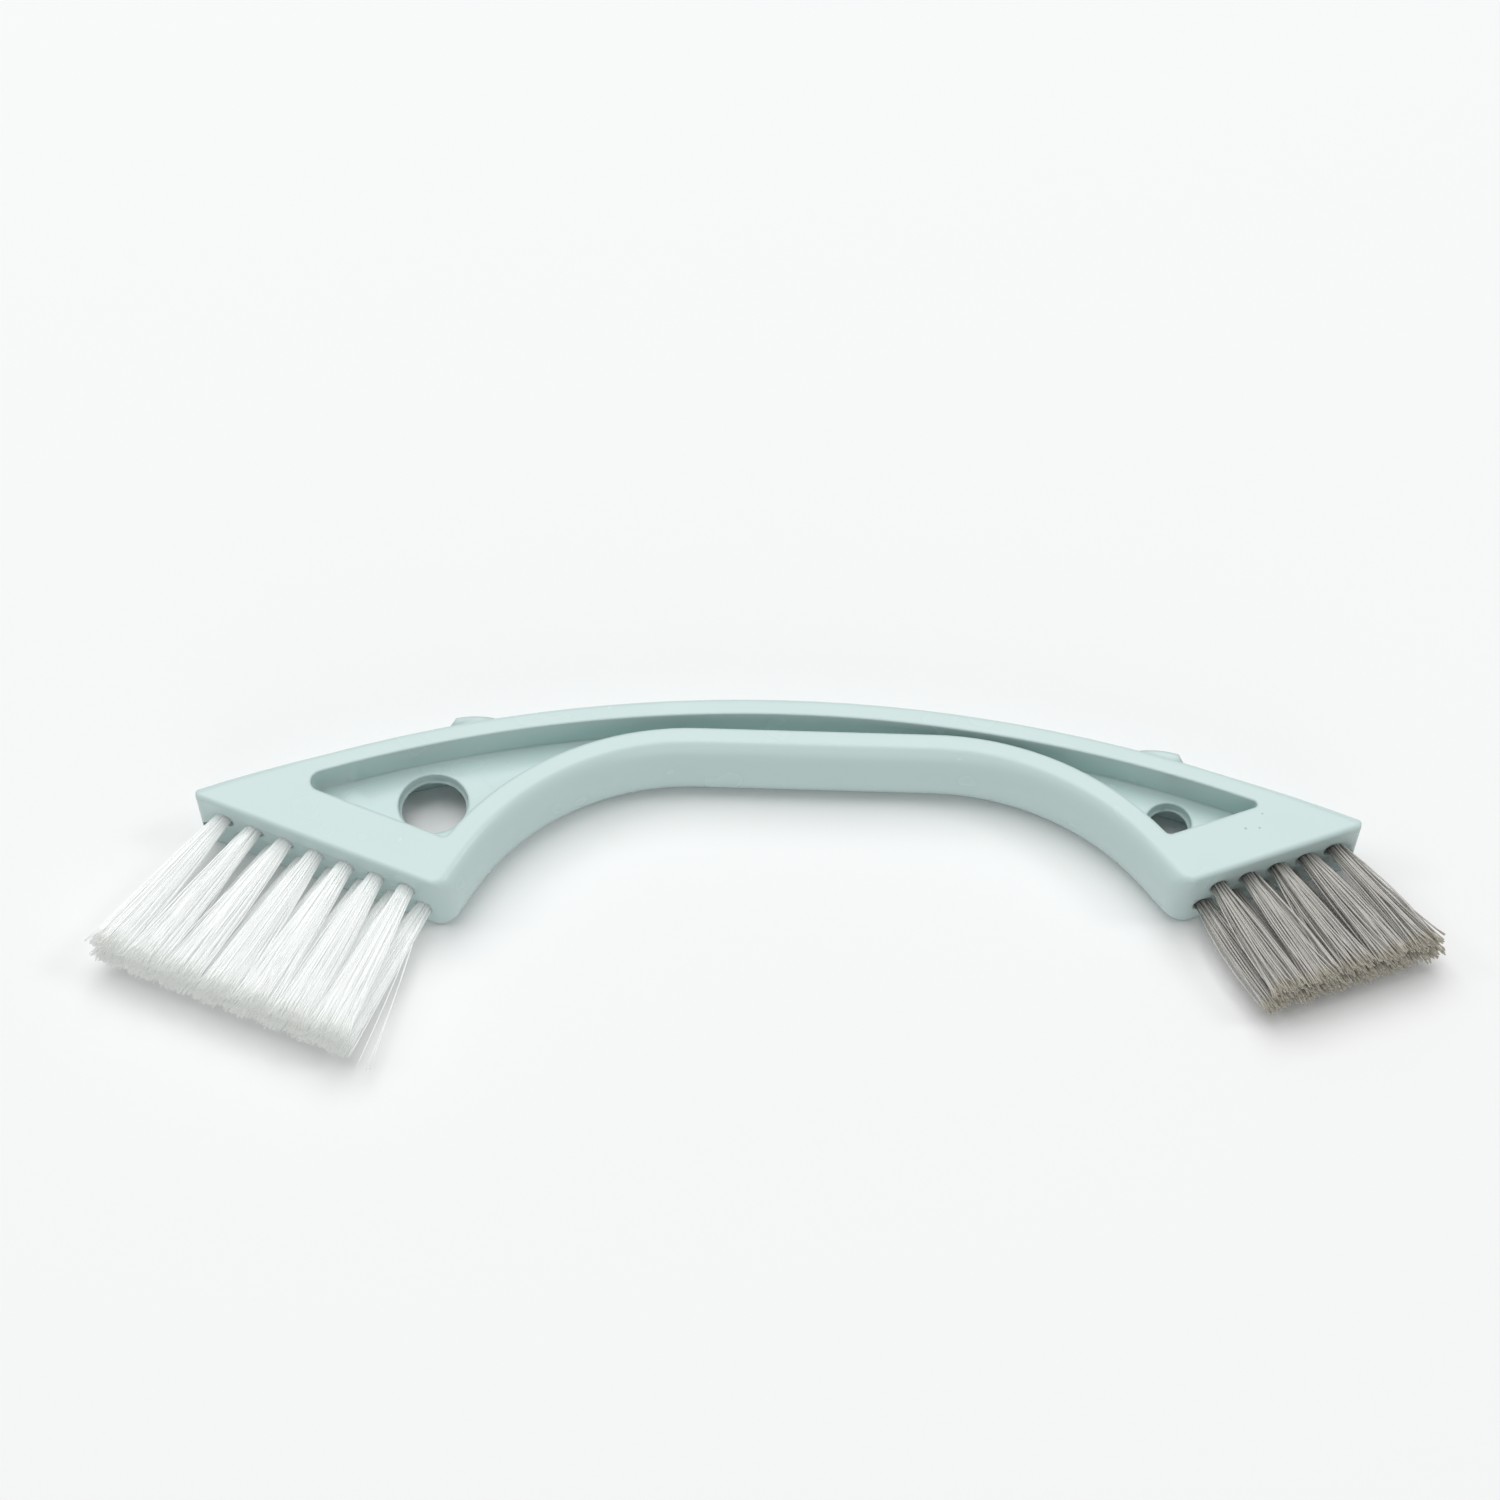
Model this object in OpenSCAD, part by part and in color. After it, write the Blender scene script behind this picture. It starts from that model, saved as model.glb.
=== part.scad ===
// Grout brush: a flat moulded handle, arched for the fingers, with a wide head of fine
// white tufts at one end and a narrow head of thick grey tufts at the other.
// Lengths are millimetres, angles degrees. The handle lies flat with its underside at Z = 0,
// its convex back edge towards +Y and its wide head towards -X.

/* [Handle] */
// Thickness of the handle, from underside to top
handle_t = 13; // [12:0.5:15]
// Radius of the convex back edge
back_r = 217.5; // [212:0.5:224]
// Width of the rib along the back edge
rib_w = 3.3; // [2.8:0.1:3.8]
// Thickness of the web between the top and bottom pockets
web_t = 1.9; // [1.4:0.1:3]
// Rounding of the outer top and bottom edges
edge_r = 0.8; // [0.4:0.1:1.2]

/* [Finger grip] */
// Distance from the back edge to the front of the grip
arch_w = 11.8; // [11.4:0.1:13]
// Width of the grip bar, back to front
grip_w = 5.25; // [4.8:0.05:5.6]
// How far the grip bulges at mid height
grip_bulge = 3.05; // [2:0.05:3.6]
// Length of the straight part of the grip
grip_len = 39.7; // [34:0.1:44]
// How far the straight part lies towards the narrow head
grip_shift = 5.6; // [4:0.1:7]

/* [Bends of the grip] */
// Front radius of the bend to the wide head
wide_bend_r = 39.5; // [37:0.5:42]
// Pocket side radius of that bend
wide_inner_r = 46.5; // [44:0.5:49]
// Angle of that bend
wide_bend_angle = 63; // [58:1:66]
// Front radius of the bend to the narrow head
narrow_bend_r = 42.4; // [40:0.1:45]
// Pocket side radius of that bend
narrow_inner_r = 48.3; // [46:0.1:51]
// Angle of that bend
narrow_bend_angle = 53; // [48:1:57]

/* [Heads] */
// Distance from the middle to the pointed corner of the wide head
wide_reach = 97.1; // [94:0.1:100]
// Slant of the wide face
wide_tilt = 21.3; // [18:0.1:24]
// Solid depth behind the wide face
wide_depth = 9; // [7.5:0.1:10]
// Distance from the middle to the pointed corner of the narrow head
narrow_reach = 95.75; // [93:0.05:98]
// Slant of the narrow face
narrow_tilt = 22.3; // [20:0.1:25]
// Solid depth behind the narrow face
narrow_depth = 9.45; // [7.5:0.05:10]
// Rounding of the pointed corners, seen from above
tip_r = 0.5; // [0.3:0.1:0.9]
// Rounding of the corners beside the finger gap
heel_r = 1.2; // [0.5:0.1:1.6]
// Rounding of the pocket beside the wide head's pointed corner
wide_pocket_r = 2; // [1:0.1:2.6]
// Rounding of the pocket beside the narrow head's pointed corner
narrow_pocket_r = 0.7; // [0.5:0.1:1.5]
// Rounding of the pocket corners beside the grip
pocket_heel_r = 1; // [0.5:0.1:1.5]

/* [Hanging holes] */
// Radius of the large hole
large_hole_r = 5.85; // [5:0.05:6.4]
// Distance of the large hole from the wide head's pointed corner, along the face
large_hole_along = 35.3; // [33:0.1:37]
// Distance of the large hole's centre from the solid head
large_hole_off = 8.2; // [7.8:0.1:8.8]
// Radius of the small hole
small_hole_r = 3.82; // [3:0.01:4.2]
// Distance of the small hole from the narrow head's pointed corner, along the face
small_hole_along = 27.8; // [26:0.1:30]
// Distance of the small hole's centre from the solid head
small_hole_off = 5.25; // [4.8:0.05:6]
// Width of the lip at the foot of each hole
lip_w = 0.45; // [0.2:0.05:0.7]
// Thickness of that lip
lip_t = 0.45; // [0.3:0.05:0.8]

/* [Thumb nubs] */
// Height of a nub over the back edge
nub_h = 1.3; // [0.8:0.1:1.8]
// Radius of its rounded ramp
nub_r = 14; // [10:0.5:18]
// Length of its steep foot on the head's side
nub_foot = 1.8; // [1:0.1:2.5]
// Rounding of its crest
nub_crest_r = 0.5; // [0.3:0.1:0.8]
// Angle from the middle of the back edge to the nub near the wide head
wide_nub_angle = 14.4; // [13:0.1:16]
// Angle from the middle of the back edge to the nub near the narrow head
narrow_nub_angle = 17.4; // [16:0.1:19]

/* [White tufts] */
// Tufts in the lower row of the wide head, one more than in the upper row
white_lower_count = 8; // [6:1:8]
// Distance of the first lower tuft from the pointed corner
white_first = 2.7; // [2.6:0.05:4]
// Distance between two tufts of a row
white_pitch = 5.6; // [5.2:0.05:5.7]
// Bristle length in front of the face
white_len = 30; // [20:0.5:34]
// How far the middle of the bristle ends leans towards the pointed corner
white_lean = 2.6; // [1:0.1:4]
// Width of one modelled strand
white_strand_w = 0.36; // [0.25:0.01:0.4]

/* [Grey tufts] */
// Tufts in the lower row of the narrow head, one more than in the upper row
grey_lower_count = 6; // [4:1:6]
// Distance of the first lower tuft from the pointed corner
grey_first = 2.6; // [2.5:0.05:4]
// Distance between two tufts of a row
grey_pitch = 5.15; // [4.8:0.05:5.4]
// Bristle length in front of the face
grey_len = 22.7; // [16:0.1:26]
// How far the middle of the bristle ends leans towards the pointed corner
grey_lean = 4.5; // [3:0.1:6]
// Width of one modelled strand
grey_strand_w = 0.42; // [0.3:0.01:0.45]

/* [Tuft seats] */
// Distance between the two rows
row_gap = 3.9; // [3.7:0.05:4.4]
// Diameter of a tuft where it leaves its hole
tuft_d = 2.7; // [2.3:0.05:2.8]
// Clearance round a tuft in its hole
tuft_clear = 0.05; // [0.03:0.01:0.1]
// Deepest tuft hole
seat_depth = 4.5; // [3:0.1:6]
// Least wall between a tuft hole and the back edge
seat_wall = 0.4; // [0.3:0.05:0.6]
// Thickness of the metal anchor across the foot of a tuft
anchor_t = 0.4; // [0.3:0.05:0.6]
// Height of that anchor
anchor_h = 1.5; // [1:0.1:2]
// How much wider the ends of the upper row fan out than its feet
upper_fan = 1.2; // [1.1:0.01:1.25]
// How much wider the ends of the lower row fan out than its feet
lower_fan = 1.05; // [1:0.01:1.1]

/* [Hidden] */
WIDE = 0;
NARROW = 1;
HEADS = [WIDE, NARROW];
white_count = 2 * white_lower_count - 1;
grey_count = 2 * grey_lower_count - 1;
counts = [white_count, grey_count];

// One entry for each head, the wide one first
reach = [wide_reach, narrow_reach];
tilt = [wide_tilt, narrow_tilt];
depth = [wide_depth, narrow_depth];
bend_r = [wide_bend_r, narrow_bend_r];
inner_r = [wide_inner_r, narrow_inner_r];
bend_angle = [wide_bend_angle, narrow_bend_angle];
bend_x = [grip_len / 2 - grip_shift, grip_len / 2 + grip_shift];
pocket_r = [wide_pocket_r, narrow_pocket_r];
hole_r = [large_hole_r, small_hole_r];
hole_along = [large_hole_along, small_hole_along];
hole_off = [large_hole_off, small_hole_off];
nub_angle = [wide_nub_angle, narrow_nub_angle];
lower_count = [white_lower_count, grey_lower_count];
first = [white_first, grey_first];
pitch = [white_pitch, grey_pitch];
bristle_len = [white_len, grey_len];
lean = [white_lean, grey_lean];
strand_w = [white_strand_w, grey_strand_w];
head_colour = ["#f1f3f0", "#8f8d89"];
aqua = "#cfe4e2";
steel = "#b9bcc0";

// Cuts run this far past the surface that they open
past = 1;
// The blank is left this much too long at the faces
blank_spare = 10;
// Lowest point of the blank
blank_low = [0, -back_r / 2];
// Point inside the curve of each bend, as shares of its radius from its centre
in_bend = [0.6, 0.35];
// The crest of a nub is rounded between these angles, and its ramp ends at the last
nub_foot_angle = 160;
nub_crest_angle = 95;
nub_ramp_angle = 60;
// Neighbouring stretches of the finger gap share this much of their length
lap = 0.001;
pocket_h = (handle_t - web_t) / 2;
row_z = [handle_t / 2 - row_gap / 2, handle_t / 2 + row_gap / 2];
fan = [lower_fan, upper_fan];
seat_r = tuft_d / 2 + tuft_clear;
// A bundle keeps this share of its pitch free at its ends
end_spare = 0.08;
// Strands start this far inside the foot that holds them
root_sink = 0.5;
// The foot of a tuft stands this far out of its hole
foot_proud = 0.15;
// Uneven trimming of the ends, as a length
trim_spread = 0.5;
// Share of its spread that a strand has at half its length
half_way_spread = 0.42;
// A strand narrows to this share of its width at its end
end_taper = 0.8;
arc_step = 3;
long_arc_step = 0.8;
fillet_step = 15;
corner_step = 13;
// The roundings of the rim and of the faces have different steps, so that no corner of one
// falls on a corner of the other where they meet
rim_step = 15;
face_step = 18;

function unit(v) = v / norm(v);
function angle_of(v) = atan2(v[1], v[0]);
function polar(r, a) = r * [cos(a), sin(a)];
// The smaller turn from angle a to angle b
function turn(a, b) = let (d = (b - a) % 360) d > 180 ? d - 360 : d < -180 ? d + 360 : d;
// Points of the arc round c from angle a to angle b, the short way round
function arc(c, r, a, b, step = arc_step) =
  let (t = turn(a, b), n = max(2, ceil(abs(t) / step)))
  [for (i = [0:n]) c + polar(r, a + t * i / n)];
// The points with the first and the last moved out along their edges, so that a cut crosses
// the surface it ends on
function crossing(points, by) =
  let (n = len(points) - 1)
  [for (i = [0:n])
    i == 0 ? points[0] + by * unit(points[0] - points[1]) :
    i == n ? points[n] + by * unit(points[n] - points[n - 1]) : points[i]];
function mirrored(points) = [for (i = [len(points) - 1:-1:0]) [-points[i][0], points[i][1]]];

// Everything below has the head at -X and the middle of the back edge at [0, 0].
// The narrow head is mirrored into its place at the end.
back_c = [0, -back_r];
function corner(h) = [-reach[h], sqrt(back_r * back_r - reach[h] * reach[h]) - back_r];
// Along the face, from the pointed corner towards the finger gap
function along(h) = [cos(tilt[h]), -sin(tilt[h])];
// Into the head, square to the face
function inward(h) = [sin(tilt[h]), cos(tilt[h])];
function out_of_face(h) = -tilt[h] - 90;
function on_face(h, x, y) = corner(h) + x * along(h) + y * inward(h);
// Where the line at depth y in the head first meets the circle of radius r round c
function meet(h, y, c, r) =
  let (q = on_face(h, 0, y) - c, b = q * along(h))
  on_face(h, -b - sqrt(b * b - q * q + r * r), y);
function bend_c(h) = [-bend_x[h], -arch_w - bend_r[h]];
function inner_c(h) = [-bend_x[h], grip_w - arch_w - inner_r[h]];

// The same points in the head's own axes: x along the face, y into the head
function in_head(h, p) = [(p - corner(h)) * along(h), (p - corner(h)) * inward(h)];

// Rows: an even tuft number is in the lower row, an odd one in the upper row
function row_of(i) = i % 2;
function foot_x(h, i) = first[h] + i * pitch[h] / 2;
function mid_x(h) = first[h] + (lower_count[h] - 1) * pitch[h] / 2;
function end_x(h, i) = mid_x(h) - lean[h] + fan[row_of(i)] * (foot_x(h, i) - mid_x(h));
// Angle of the tuft's axis to the face's normal
function slant(h, i) = atan2(end_x(h, i) - foot_x(h, i), bristle_len[h]);
function end_half_w(h, i) = (1 - end_spare) / 2 * pitch[h] * fan[row_of(i)] - strand_w[h] / 2;
function end_half_t(h) = (1 - end_spare) / 2 * row_gap - strand_w[h] / 2;
// Depth that leaves the least wall in front of the back edge
function seat(h, i) =
  let (
    a = slant(h, i),
    w = [-sin(a), cos(a)],
    p = [foot_x(h, i), 0] - seat_r * [cos(a), sin(a)] - in_head(h, back_c),
    b = p * w,
    room = sqrt(b * b - p * p + pow(back_r - seat_wall, 2)) - b
  )
  min(seat_depth, room);

// The whole part is moved so that the middle of its box is over [0, 0]
white_end = on_face(WIDE, end_x(WIDE, 0) - end_half_w(WIDE, 0), -white_len);
white_low = on_face(WIDE, end_x(WIDE, white_count - 1) + end_half_w(WIDE, 0), -white_len);
grey_end = on_face(NARROW, end_x(NARROW, 0) - end_half_w(NARROW, 0), -grey_len);
grey_low = on_face(NARROW, end_x(NARROW, grey_count - 1) + end_half_w(NARROW, 0), -grey_len);
centre = [(white_end[0] - grey_end[0]) / 2, min(white_low[1], grey_low[1]) / 2];

module centred() {
  translate([-centre[0], -centre[1], 0]) children();
}

// Puts what is drawn with its head at -X on the side of head h
module side(h) {
  mirror([h == NARROW ? 1 : 0, 0, 0]) children();
}

// Head axes: x along the face, y into the head, z up
module on_head(h) {
  side(h)
    translate([corner(h)[0], corner(h)[1], 0])
      rotate([0, 0, -tilt[h]]) children();
}

// Tuft axes: z out of the hole along the tuft, x along the row, y up
module on_tuft(h, i) {
  on_head(h)
    translate([foot_x(h, i), 0, row_z[row_of(i)]])
      rotate([0, 0, slant(h, i)]) rotate([90, 0, 0]) children();
}

// Section of a round plate with rounded rims, for turning about its axis
module disc_section(r) {
  polygon(concat(
    [[0, 0]],
    arc([r - edge_r, edge_r], edge_r, -90, 0, rim_step),
    arc([r - edge_r, handle_t - edge_r], edge_r, 0, 90, rim_step),
    [[0, handle_t]]
  ));
}

module back_plate() {
  translate([0, -back_r, 0])
    rotate_extrude($fn = 360) disc_section(back_r);
}

// The plate without its lower part, which is left a little long at the faces
module blank() {
  ends = [for (h = HEADS) on_face(h, -blank_spare, -blank_spare)];
  intersection() {
    back_plate();
    translate([0, 0, -past])
      linear_extrude(height = handle_t + 2 * past)
        polygon([
          [ends[WIDE][0], back_r / 4],
          ends[WIDE],
          blank_low,
          [-ends[NARROW][0], ends[NARROW][1]],
          [-ends[NARROW][0], back_r / 4]
        ]);
  }
}

// Trims the plate to a face and rounds the face's long edges
module face_cut(h) {
  before = 2 * blank_spare;
  on_head(h)
    translate([-before, 0, 0])
      rotate([90, 0, 90])
        linear_extrude(height = before + in_head(h, blank_low)[0] + past)
          polygon(concat(
            [[-reach[h], -past]],
            crossing(concat(
              [for (a = [0:face_step:90]) edge_r * [1 - sin(a), 1 - cos(a)]],
              [for (a = [0:face_step:90]) [edge_r * (1 - cos(a)), handle_t - edge_r * (1 - sin(a))]]
            ), past),
            [[-reach[h], handle_t + past]]
          ));
}

// Takes off what lies outside the arc round c from angle a to angle b, at any height
module round_cut(c, r, a, b) {
  middle = a + turn(a, b) / 2;
  translate([0, 0, -past])
    linear_extrude(height = handle_t + 2 * past)
      polygon(concat(
        crossing(arc(c, r, a, b, corner_step), past),
        [c + polar(3 * (r + past), middle)]
      ));
}

// Rounds the pointed corner, seen from above
module tip_cut(h) {
  c = meet(h, tip_r, back_c, back_r - tip_r);
  side(h) round_cut(c, tip_r, angle_of(c - back_c), out_of_face(h));
}

// Rounds the corner between the face and the finger gap
module heel_cut(h) {
  off_grip = polar(1, 90 + bend_angle[h]);
  start = on_face(h, 0, heel_r);
  run = (bend_r[h] + heel_r - (start - bend_c(h)) * off_grip) / (along(h) * off_grip);
  side(h) round_cut(start + run * along(h), heel_r, bend_angle[h] - 90, out_of_face(h));
}

// A ramp that rises from the back edge towards the head and ends in a steep foot
module nub(h) {
  crest = back_r + nub_h;
  sunk = back_r - nub_h;
  inset = edge_r / 2;
  side(h)
    translate([0, -back_r, inset])
      rotate([0, 0, nub_angle[h]])
        linear_extrude(height = handle_t - 2 * inset)
          polygon(concat(
            [[-nub_foot, sunk], [-nub_foot, back_r - nub_h / 10]],
            arc(
              [nub_crest_r - nub_foot / 2, crest - nub_crest_r], nub_crest_r,
              nub_foot_angle, nub_crest_angle, corner_step
            ),
            arc([nub_crest_r - nub_foot / 2, crest - nub_r], nub_r, 90, nub_ramp_angle)
          ));
}

// Section of the finger gap: the grip bulges into it as half an ellipse
module gap_section(r) {
  core = r / 4;
  half_t = handle_t / 2;
  polygon(concat(
    [[core, -past]],
    crossing(
      [for (a = [0:7.5:180]) [r + grip_bulge * (1 - sin(a)), half_t * (1 - cos(a))]],
      past
    ),
    [[core, handle_t + past]]
  ));
}

// The bend beside one head and the straight stretch from it to the face
module gap_side(h) {
  side(h)
    translate([bend_c(h)[0], bend_c(h)[1], 0])
      rotate([0, 0, 90 + bend_angle[h]]) {
        rotate_extrude(angle = bend_angle[h], start = -bend_angle[h], $fn = 180)
          gap_section(bend_r[h]);
        rotate([90, 0, 0])
          translate([0, 0, -bend_r[h]])
            linear_extrude(height = bend_r[h] + lap) gap_section(bend_r[h]);
      }
}

module finger_gap() {
  for (h = HEADS) gap_side(h);
  translate([-bend_x[WIDE] - lap, bend_c(WIDE)[1], 0])
    rotate([90, 0, 90])
      linear_extrude(height = grip_len + 2 * lap) gap_section(bend_r[WIDE]);
  left = bend_c(WIDE) + bend_r[WIDE] * [-in_bend[0], in_bend[1]];
  right = [-bend_c(NARROW)[0], bend_c(NARROW)[1]] + bend_r[NARROW] * in_bend;
  bottom = blank_low[1];
  translate([0, 0, -past])
    linear_extrude(height = handle_t + 2 * past)
      polygon([left, right, [right[0], bottom], [left[0], bottom]]);
}

// Outline of the pockets at one head, from the grip round to the rib
function pocket_end(h) =
  let (
    near = meet(h, depth[h] + pocket_heel_r, inner_c(h), inner_r[h] + pocket_heel_r),
    far = meet(h, depth[h] + pocket_r[h], back_c, back_r - rib_w - pocket_r[h]),
    at_grip = angle_of(near - inner_c(h)),
    at_rib = angle_of(far - back_c)
  )
  concat(
    arc(inner_c(h), inner_r[h], 90, at_grip),
    arc(near, pocket_heel_r, at_grip + 180, out_of_face(h), fillet_step),
    arc(far, pocket_r[h], out_of_face(h), at_rib, fillet_step)
  );

module pocket_outline() {
  wide = pocket_end(WIDE);
  narrow = mirrored(pocket_end(NARROW));
  a = angle_of(wide[len(wide) - 1] - back_c);
  b = angle_of(narrow[0] - back_c);
  polygon(concat(wide, arc(back_c, back_r - rib_w, a, b, long_arc_step), narrow));
}

module pockets() {
  for (z = [-past, handle_t - pocket_h])
    translate([0, 0, z])
      linear_extrude(height = pocket_h + past) pocket_outline();
}

// Through hole with a thin lip left at its foot
module hang_hole(h) {
  on_head(h)
    translate([hole_along[h], depth[h] + hole_off[h], pocket_h]) {
      translate([0, 0, -past])
        cylinder(h = web_t + 2 * past, r = hole_r[h] - lip_w, $fn = 96);
      translate([0, 0, lip_t])
        cylinder(h = web_t, r = hole_r[h], $fn = 96);
    }
}

module seats(h) {
  for (i = [0:counts[h] - 1])
    on_tuft(h, i)
      translate([0, 0, -seat(h, i)])
        cylinder(h = seat(h, i) + past, r = seat_r, $fn = 32);
}

module handle() {
  color(aqua)
    centred()
      difference() {
        union() {
          blank();
          for (h = HEADS) nub(h);
        }
        finger_gap();
        pockets();
        for (h = HEADS) {
          face_cut(h);
          tip_cut(h);
          heel_cut(h);
          hang_hole(h);
          seats(h);
        }
      }
}

// Strand places in a round bundle: one in the middle and rings of 6 and 12
function ring_place(k) =
  k == 0 ? [0, 0] : k < 7 ? polar(0.5, 60 * k) : polar(1, 30 * k + 15);
strands = 19;

// Three corners of a strand's section round c
function strand_ring(c, w, z) =
  [for (a = [90:120:330]) [c[0] + w / sqrt(3) * cos(a), c[1] + w / sqrt(3) * sin(a), z]];

module strand(h, i, k) {
  p = ring_place(k);
  root_r = tuft_d / 2 - strand_w[h];
  foot = root_r * p;
  tip = [end_half_w(h, i) * p[0], end_half_t(h) * p[1]];
  half = foot + half_way_spread * (tip - foot);
  trim = trim_spread * sin(137.5 * (k + strands * i));
  tip_z = (bristle_len[h] + tip[0] * sin(slant(h, i))) / cos(slant(h, i)) - trim_spread + trim;
  rings = concat(
    strand_ring(foot, strand_w[h], foot_proud - root_sink),
    strand_ring(half, strand_w[h], tip_z / 2),
    strand_ring(tip, end_taper * strand_w[h], tip_z)
  );
  sides = [for (j = [0:1], s = [0:2], t = [0:1])
    let (a = 3 * j + s, b = 3 * j + (s + 1) % 3)
    t == 0 ? [a, a + 3, b] : [b, a + 3, b + 3]];
  polyhedron(points = rings, faces = concat([[0, 1, 2]], sides, [[8, 7, 6]]));
}

// Slot across the foot of a tuft, and the anchor in it
module anchor_bar(h, i, clear) {
  high = min(anchor_h, 0.6 * seat(h, i));
  across = sqrt(pow(seat_r - tuft_clear, 2) - pow(anchor_t / 2, 2));
  translate([-across - clear, -anchor_t / 2 - clear, -seat(h, i) + tuft_clear - clear])
    cube([2 * (across + clear), anchor_t + 2 * clear, high + 2 * clear]);
}

module tuft(h, i) {
  color(head_colour[h])
    centred()
      on_tuft(h, i) {
        difference() {
          translate([0, 0, -seat(h, i) + tuft_clear])
            cylinder(h = seat(h, i) - tuft_clear + foot_proud, d = tuft_d, $fn = 24);
          anchor_bar(h, i, tuft_clear);
        }
        for (k = [0:strands - 1]) strand(h, i, k);
      }
}

module anchors(h) {
  color(steel)
    centred()
      for (i = [0:counts[h] - 1])
        on_tuft(h, i) anchor_bar(h, i, 0);
}

function tuft_name(h, i) =
  str(h == WIDE ? "white" : "grey", "_tuft_", i < 9 ? "0" : "", i + 1);

handle();
for (h = HEADS, i = [0:counts[h] - 1])
  tuft(h, i);
anchors(WIDE);  // white_tuft_anchors
anchors(NARROW);  // grey_tuft_anchors
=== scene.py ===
"""Looks of a grout brush: a glossy pale aqua handle with white and grey bristles.

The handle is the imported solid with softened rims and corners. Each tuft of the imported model
gives its place, direction and spread to a full bundle of bristles that stands for it.
"""
import logging
import math
import random
from dataclasses import dataclass, field
from enum import Enum

import bmesh
import bpy
from mathutils import Matrix, Vector


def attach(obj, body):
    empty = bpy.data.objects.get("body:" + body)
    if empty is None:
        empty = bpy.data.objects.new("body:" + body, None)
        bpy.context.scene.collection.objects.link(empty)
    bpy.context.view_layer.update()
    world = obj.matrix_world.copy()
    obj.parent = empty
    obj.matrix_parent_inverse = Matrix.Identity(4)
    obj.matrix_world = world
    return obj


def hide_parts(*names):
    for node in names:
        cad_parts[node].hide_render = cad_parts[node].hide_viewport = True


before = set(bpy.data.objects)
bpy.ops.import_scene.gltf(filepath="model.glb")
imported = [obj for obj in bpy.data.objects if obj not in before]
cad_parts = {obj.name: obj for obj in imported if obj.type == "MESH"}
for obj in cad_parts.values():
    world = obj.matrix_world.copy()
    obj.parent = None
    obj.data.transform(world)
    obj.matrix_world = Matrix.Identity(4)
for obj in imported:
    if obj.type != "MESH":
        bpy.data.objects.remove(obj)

LOG = logging.getLogger("grout_brush")
MM = 0.001
THICKNESS = 13.0 * MM
RIM = 0.8 * MM
BACKING_DEPTH = 0.3 * MM
TRIM_DEPTH = 2.0 * MM
GOLDEN_TURN = math.radians(137.508)
TURN_JITTER = 0.4


class Head(Enum):
    """The two heads of the brush, by the word that their nodes start with."""

    WIDE = "white"
    NARROW = "grey"


@dataclass(frozen=True)
class HeadAxes:
    """Directions of one slanted head and of the leg that joins it to the grip.

    Attributes:
        side: -1 for the head at -X and +1 for the head at +X.
        tilt: slant of the face in degrees.
        bend_angle: angle of the bend between grip and leg in degrees.
        bend_radius: front radius of that bend.
        bend_centre: its centre, seen from above.
    """

    side: int
    tilt: float
    bend_angle: float
    bend_radius: float
    bend_centre: Vector

    @property
    def outward(self) -> Vector:
        """Square out of the face."""
        angle = math.radians(self.tilt)
        return Vector((self.side * math.sin(angle), -math.cos(angle), 0.0))

    @property
    def along(self) -> Vector:
        """Along the face, towards the finger gap."""
        angle = math.radians(self.tilt)
        return Vector((-self.side * math.cos(angle), -math.sin(angle), 0.0))

    @property
    def leg_outward(self) -> Vector:
        """Square out of the leg's front, into the finger gap."""
        angle = math.radians(self.bend_angle)
        return Vector((-self.side * math.sin(angle), -math.cos(angle), 0.0))

    @property
    def leg_distance(self) -> float:
        """How far the leg's front lies along its outward direction, at mid height."""
        return self.bend_centre.dot(self.leg_outward) - self.bend_radius


AXES = {
    Head.WIDE: HeadAxes(-1, 21.3, 63.0, 39.5 * MM, Vector((-13.077, -18.111, 0.0)) * MM),
    Head.NARROW: HeadAxes(1, 22.3, 53.0, 42.4 * MM, Vector((26.623, -21.011, 0.0)) * MM),
}


def srgb(red: int, green: int, blue: int) -> tuple[float, float, float, float]:
    """Turns screen colour numbers from 0 to 255 into a linear colour.

    Args:
        red: red part.
        green: green part.
        blue: blue part.

    Returns:
        The linear colour with an alpha of 1.
    """

    def linear(part: int) -> float:
        """One part of the colour, linear."""
        share = part / 255
        return share / 12.92 if share <= 0.04045 else ((share + 0.055) / 1.055) ** 2.4

    return (linear(red), linear(green), linear(blue), 1.0)


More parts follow.
